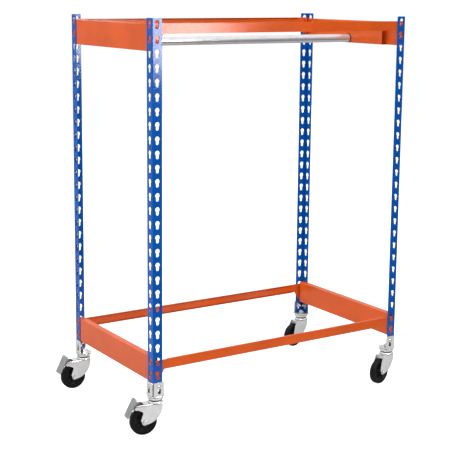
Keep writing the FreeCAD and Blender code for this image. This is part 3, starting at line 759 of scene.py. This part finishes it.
def core_mesh(core):
    """Hub, thin web, ribs and rim, as moulded."""
    hub = [(BOLT_HOLE, HUB_HALF), (0.0100, HUB_HALF), (0.0112, HUB_HALF - 0.0007),
           (0.0138, HUB_HALF - 0.0040), (0.0142, 0.0058), (0.0156, WEB_HALF)]
    rim = [(core - 0.0082, WEB_HALF), (core - 0.0064, 0.0056), (core - 0.0050, RIM_HALF - 0.0004),
           (core - 0.0046, RIM_HALF), (core - 0.0004, RIM_HALF)]
    mesh = lathe(mirrored(hub + rim), HUB_SEGMENTS)
    start, waist, end = 0.0128, 0.0260, core - 0.0052
    rib = [(start, 0.0030), (end, 0.0030), (end, RIM_HALF - 0.0012), (waist, 0.0068),
           (start, HUB_HALF - 0.0045)]
    for index in range(WHEEL_RIBS):
        turn = Matrix.Rotation(2 * math.pi * (index + 0.5) / WHEEL_RIBS, 4, "Z")
        for side in (-1, 1):
            outline = [(out, side * height) for out, height in rib]
            merge(mesh, extruded(outline, -WHEEL_RIB_HALF, WHEEL_RIB_HALF), turn)
    return mesh


def washer():
    eased_radius, eased_height = WASHER_RADIUS - WASHER_EASE, WASHER_HEIGHT - WASHER_EASE
    return lathe([(BOLT_HOLE, 0), (eased_radius, 0), (WASHER_RADIUS, WASHER_EASE),
                  (WASHER_RADIUS, eased_height), (eased_radius, WASHER_HEIGHT), (BOLT_HOLE, WASHER_HEIGHT)],
                 BOLT_SEGMENTS)


def axle_mesh():
    """Axle bolt with a chamfered head on one side, and a nut on the threaded end of the other."""
    thread_start, thread_end = [FORK_HALF + reach for reach in AXLE_THREAD]
    mesh = plain_rod(BOLT_RADIUS, -FORK_HALF, FORK_HALF + AXLE_SHANK, STUD_SEGMENTS)
    merge(mesh, threaded(BOLT_RADIUS, thread_start, thread_end))
    merge(mesh, hexagon_head(HEX_FLATS, HEX_HEIGHT),
          Matrix.Translation((0, 0, -FORK_HALF)) @ Matrix.Rotation(math.pi, 4, "X"))
    merge(mesh, washer(), Matrix.Translation((0, 0, FORK_HALF)))
    merge(mesh, hexagon_head(HEX_FLATS, HEX_HEIGHT, BOLT_HOLE),
          Matrix.Translation((0, 0, FORK_HALF + WASHER_HEIGHT)))
    return mesh


def race_cap_mesh(radius, top, bottom):
    """The pressed cap under the bracket, with a rolled rim and a raised inner ring."""
    return lathe([(KINGPIN_HOLE, top), (radius - 0.0025, top), (radius - 0.0008, top - 0.0006),
                  (radius, top - 0.0022), (radius, top - 0.0072), (radius - 0.0005, top - 0.0088),
                  (radius - 0.0016, bottom + 0.0008), (radius - 0.0032, bottom), (0.0160, bottom),
                  (0.0150, bottom + 0.0010), (0.0130, top - 0.0050), (KINGPIN_HOLE, top - 0.0050)],
                 WHEEL_SEGMENTS)


def lower_race_mesh(radius, ball_circle, fork_top):
    """The turning race on the fork, grooved for the balls."""
    foot, rim, dish = fork_top - 0.0004, fork_top + RACE_RISE, fork_top + 0.0020
    outside = [(0.0062, foot), (radius - 0.0008, foot), (radius, fork_top + 0.0004),
               (radius, fork_top + 0.0018), (radius - 0.0008, fork_top + 0.0030), (radius - 0.0026, rim)]
    groove = []
    for angle in [math.radians(25 + 130 * k / 8) for k in range(9)]:
        groove.append((ball_circle + 0.0029 * math.cos(angle), fork_top + 0.0086 - 0.0031 * math.sin(angle)))
    inside = [(ball_circle - 0.0045, rim), (0.0120, dish), (0.0062, dish)]
    return lathe(outside + groove + inside, WHEEL_SEGMENTS)


def fork_outline(axle, pin, top):
    """The smooth side of the fork in its own XZ plane, with a nose round the brake pin if there is one."""
    front = smooth_path([(0.022, top), (0.0212, top - 0.015), (0.0172, top - 0.030), (0.009, top - 0.0465),
                         (-0.004, top - 0.061), (-0.022, top - 0.0715), (axle.x + 0.0062, axle.z - 0.0092)])
    eye = arc((axle.x, axle.z), FORK_EYE, -56, -172, 9)
    eye_end = (axle.x - 0.0112, axle.z + 0.002)
    if pin is None:
        back = smooth_path([eye_end, (axle.x - 0.0150, top - 0.057), (axle.x - 0.0105, top - 0.030),
                            (axle.x - 0.0005, top - 0.0115), (axle.x + 0.001, top)])
        return front + eye + back
    back = smooth_path([eye_end, (axle.x - 0.0143, top - 0.058), (axle.x - 0.0100, top - 0.044),
                        (axle.x - 0.0062, top - 0.031), (axle.x - 0.0105, top - 0.0256),
                        (pin.x + 0.006, pin.z - 0.0080)])
    nose = arc((pin.x, pin.z), FORK_NOSE, -78, -258, 12)
    return front + eye + back + nose + [(axle.x - 0.0155, top)]


def fork_mesh(axle, pin, top, race_radius, ball_circle):
    """A pressed U with rounded shoulders, trimmed to its side outline, and the race on top."""
    inner = FORK_HALF - FORK_SHEET
    shoulder, shoulder_height = FORK_HALF - FORK_BEND, top - FORK_BEND
    armpit, armpit_height = inner - FORK_INNER_BEND, top - FORK_ROOF - FORK_INNER_BEND
    section = [(-FORK_HALF, FORK_BLANK_LOW)]
    section += arc((-shoulder, shoulder_height), FORK_BEND, 180, 90, 6)
    section += arc((shoulder, shoulder_height), FORK_BEND, 90, 0, 6)
    section += [(FORK_HALF, FORK_BLANK_LOW), (inner, FORK_BLANK_LOW)]
    section += arc((armpit, armpit_height), FORK_INNER_BEND, 0, 90, 4)
    section += arc((-armpit, armpit_height), FORK_INNER_BEND, 90, 180, 4)
    section += [(-inner, FORK_BLANK_LOW)]
    blank = extruded(section, *FORK_BLANK_REACH)
    blank.transform(Matrix.Rotation(math.pi / 2, 4, "Z"))
    side = extruded(fork_outline(axle, pin, top), -FORK_HALF - 2 * PAST, FORK_HALF + 2 * PAST)
    steps = [("INTERSECT", side)]
    if pin is not None:
        back, front = axle.x - MOUTH_BACK, axle.x - MOUTH_FRONT
        low, high = top - MOUTH_DEPTH, top + PAST
        mouth = extruded([(back, low), (front, low), (front, high), (back, high)], -inner, inner)
        steps.append(("DIFFERENCE", mouth))
    bore = plain_rod(KINGPIN_HOLE, top - 10 * PAST, top + 10 * PAST, STUD_SEGMENTS)
    steps.append(("DIFFERENCE", bore))
    mesh = cut_and_bevel(blank, steps, PRESSED_BEVEL)
    merge(mesh, lower_race_mesh(race_radius, ball_circle, top))
    return mesh


def pedal_rib_lift(along, length):
    """How far the ribs stand out of the plate at a distance from its top."""
    gap = (length - PEDAL_RIB_MARGIN) / (PEDAL_RIBS - 1)
    phase = (along - PEDAL_FIRST_RIB) / gap
    if not -0.4 < phase < PEDAL_RIBS - 0.6:
        return 0.0
    from_ridge = abs(phase - round(phase)) * gap
    return PEDAL_RIB_HEIGHT * math.sqrt(max(0.0, 1 - (from_ridge / PEDAL_RIB_HALF) ** 2))


def pedal_corner_inset(along, length):
    """How much narrower the plate is on each side near its rounded corners."""
    near_end = min(along, length - along)
    if near_end >= PEDAL_CORNER:
        return 0.0
    return PEDAL_CORNER - math.sqrt(max(0.0, PEDAL_CORNER ** 2 - (PEDAL_CORNER - near_end) ** 2))


def pedal_plate(top, down, out, length):
    """A ribbed plate with rounded corners, eased sides and a lip bent back at the top."""
    mesh = bmesh.new()
    face, back = [], []
    for row in range(PEDAL_ROWS + 1):
        along = length * row / PEDAL_ROWS
        half = PEDAL_HALF - pedal_corner_inset(along, length)
        rib = pedal_rib_lift(along, length)
        lip = PEDAL_LIP_BEND * max(0.0, PEDAL_LIP - along) ** 2
        for grid in (face, back):
            line = []
            for share in PEDAL_COLUMNS:
                lift = -lip
                if grid is back:
                    lift -= PEDAL_SHEET
                elif abs(share) < 0.9:
                    lift += rib
                elif abs(share) > 0.99:
                    lift -= PEDAL_EASE
                place = top + down * along + out * lift
                line.append(mesh.verts.new((place.x, share * half, place.z)))
            grid.append(line)
    columns = range(len(PEDAL_COLUMNS) - 1)
    for row in range(PEDAL_ROWS):
        near, far, near_back, far_back = face[row], face[row + 1], back[row], back[row + 1]
        for k in columns:
            mesh.faces.new((near[k], near[k + 1], far[k + 1], far[k]))
            mesh.faces.new((near_back[k], far_back[k], far_back[k + 1], near_back[k + 1]))
        for k in (0, -1):
            mesh.faces.new((near[k], far[k], far_back[k], near_back[k]))
    for row in (0, -1):
        for k in columns:
            mesh.faces.new((face[row][k], back[row][k], back[row][k + 1], face[row][k + 1]))
    return mesh


def pedal_mesh(pin, top, foot):
    """The foot pedal: a pressed plate, and two ears that run to the brake pin."""
    down = (foot - top).normalized()
    out = Vector((down.z, 0, -down.x))
    mesh = pedal_plate(top, down, out, (foot - top).length)
    tilt = math.degrees(math.atan2(down.z, down.x))
    roots = [top + down * along - out * EAR_SINK for along in EAR_SPAN]
    outline = [(root.x, root.z) for root in roots]
    outline += arc((pin.x, pin.z), EAR_ROUND, tilt, tilt + 180, 14)
    at_pin = Matrix.Translation((pin.x, 0, pin.z)) @ AROUND_AXLE
    for low in (-EAR_OUTER, EAR_OUTER - EAR_SHEET):
        high = low + EAR_SHEET
        bore = plain_rod(EAR_HOLE, low - PAST, high + PAST, PIN_SEGMENTS)
        bore.transform(at_pin)
        merge(mesh, cut_and_bevel(extruded(outline, low, high), [("DIFFERENCE", bore)], EAR_BEVEL))
    return mesh


def make_wheel(corner, at_axle):
    radius, core = half_size("tyre_" + corner, 2), half_size("wheel_core_" + corner, 2)
    mesh = tyre_mesh(radius, core)
    mesh.transform(at_axle)
    piece("rubber_tyre_" + corner, mesh, "tyre_rubber", "wheel_" + corner, "tyre_" + corner)
    mesh = core_mesh(core)
    mesh.transform(at_axle)
    piece("ribbed_core_" + corner, mesh, "black_plastic", "wheel_" + corner, "wheel_core_" + corner)
    mesh = axle_mesh()
    mesh.transform(at_axle)
    piece("axle_bolt_" + corner, mesh, "bright_zinc", "swivel_" + corner, "axle_" + corner)


def make_head(corner, place, axle, pin):
    """The swivel head: the fixed cap, and the fork that turns under it."""
    low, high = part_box("race_cap_" + corner)
    radius = half_size("race_cap_" + corner, 0)
    mesh = race_cap_mesh(radius, high.z, low.z)
    mesh.transform(place)
    piece("pressed_cap_" + corner, mesh, "bright_zinc", "frame", "race_cap_" + corner)
    fork_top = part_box("fork_" + corner)[1].z - RACE_RISE
    ball_circle = half_size("swivel_balls_" + corner, 0) - BALL_RADIUS
    mesh = fork_mesh(axle, pin, fork_top, radius - RACE_INSET, ball_circle)
    mesh.transform(place)
    piece("pressed_fork_" + corner, mesh, "bright_zinc", "swivel_" + corner, "fork_" + corner)


def make_pedal(corner, place, axle, pin):
    top, foot = [Vector((axle.x + x, 0, axle.z + z)) for x, z in (PEDAL_TOP, PEDAL_FOOT)]
    mesh = pedal_mesh(pin, top, foot)
    mesh.transform(place)
    piece("ribbed_pedal_" + corner, mesh, "grey_zinc", "brake_" + corner, "brake_pedal_" + corner)


def make_casters():
    for corner in ("front_left", "back_left", "back_right", "front_right"):
        place = caster_frame(corner)
        axle = in_frame(corner, "roll")
        braked = "brake_pedal_" + corner in NODES
        pin = in_frame(corner, "brake") if braked else None
        make_wheel(corner, place @ Matrix.Translation(axle) @ AROUND_AXLE)
        make_head(corner, place, axle, pin)
        if braked:
            make_pedal(corner, place, axle, pin)


def make_kingpin_nuts():
    nuts = bmesh.new()
    for low, high in solids_of("kingpin_nuts"):
        middle = (low + high) / 2
        merge(nuts, hexagon_head(KINGPIN_FLATS, high.z - low.z, KINGPIN_HOLE),
              Matrix.Translation((middle.x, middle.y, low.z)))
    piece("kingpin_nut_set", nuts, "bright_zinc", "frame", "kingpin_nuts")


# ---------------------------------------------------------------- studio
FLOOR_FRONT = 0.65                  # how far the floor runs in front of the rack, behind it and sideways
FLOOR_BACK = 9.0
FLOOR_SIDE = 8.0
FLOOR_GLOW = (0.05, 0.95)           # emission to other rays and to the camera
BEHIND = (-0.15, 0.05)              # where the world turns from its front to its back, and to its top
ABOVE = (0.15, 0.45)
FRONT_GREY = (0.06, 0.06, 0.065, 1)
BACK_GREY = (0.40, 0.42, 0.44, 1)


def make_floor():
    """A pale sheet that starts a little in front of the rack and runs far behind it."""
    low, high = CAD_BOX
    front, back = low.y - FLOOR_FRONT, high.y + FLOOR_BACK
    mesh = bmesh.new()
    corners = [(-FLOOR_SIDE, front, 0), (FLOOR_SIDE, front, 0),
               (FLOOR_SIDE, back, 0), (-FLOOR_SIDE, back, 0)]
    mesh.faces.new([mesh.verts.new(corner) for corner in corners])
    floor = object_from("studio_floor", mesh)
    material, tree, shader = new_material("studio_floor")
    shade = noise(tree, object_coordinates(tree), FLOOR_SCALE)
    put(tree, shader.inputs["Base Color"], mix(tree, shade, scaled(WHITE, 0.44), scaled(WHITE, 0.48)))
    shader.inputs["Roughness"].default_value = 0.8
    shader.inputs["Specular IOR Level"].default_value = 0.0
    shader.inputs["Emission Color"].default_value = WHITE
    seen = add(tree, "ShaderNodeLightPath")
    put(tree, shader.inputs["Emission Strength"], span(tree, seen.outputs["Is Camera Ray"], *FLOOR_GLOW))
    floor.data.materials.append(material)


def make_world():
    """White overhead, paler behind the rack than in front of it, and pure white to the camera."""
    world = bpy.data.worlds.new("studio")
    bpy.context.scene.world = world
    world.use_nodes = True
    tree = world.node_tree
    place = add(tree, "ShaderNodeTexCoord")
    along = add(tree, "ShaderNodeSeparateXYZ", Vector=place.outputs["Generated"])
    behind = ramp(tree, along.outputs["Y"], *BEHIND)
    above = ramp(tree, along.outputs["Z"], *ABOVE)
    level = mix(tree, behind, FRONT_GREY, BACK_GREY)
    soft = mix(tree, above, level, scaled(WHITE, 0.95))
    seen = add(tree, "ShaderNodeLightPath")
    colour = mix(tree, seen.outputs["Is Camera Ray"], soft, scaled(WHITE, 1.05))
    put(tree, tree.nodes["Background"].inputs["Color"], colour)
    tree.nodes["Background"].inputs["Strength"].default_value = 1.0


def area_light(name, place, target, size, watts, diffuse=True, gloss=True):
    """A rectangular light aimed at a point."""
    data = bpy.data.lights.new(name, "AREA")
    data.shape = "RECTANGLE"
    data.size, data.size_y = size
    data.energy = watts
    light = bpy.data.objects.new(name, data)
    bpy.context.scene.collection.objects.link(light)
    light.location = place
    light.visible_diffuse = diffuse
    light.visible_glossy = gloss
    light.rotation_euler = (Vector(target) - Vector(place)).to_track_quat("-Z", "Y").to_euler()


def make_lights():
    """Soft light from above, two washes that give no reflections, and a glare that is only reflected."""
    area_light("overhead", place=(-0.6, -0.8, 3.4), target=(0, 0, 0.6), size=(2.6, 2.0), watts=26)
    area_light("left_wash", place=(-3.2, 0.6, 1.9), target=(0, 0, 0.7), size=(1.6, 2.2), watts=38,
               gloss=False)
    area_light("front_glare", place=(0.62, -2.08, 1.90), target=(-0.45, 0.0, 1.45), size=(0.44, 1.5),
               watts=40, diffuse=False)
    area_light("front_wash", place=(-1.2, -3.4, 2.7), target=(0.2, 0, 1.0), size=(1.6, 1.6), watts=88,
               gloss=False)


bpy.context.scene.view_settings.view_transform = "Standard"
make_camera()
MATERIALS = make_materials()
coat_nodes()
make_rivets()
make_bracket_bolts()
make_bracket_nuts()
make_tube()
make_casters()
make_kingpin_nuts()
make_floor()
make_world()
make_lights()
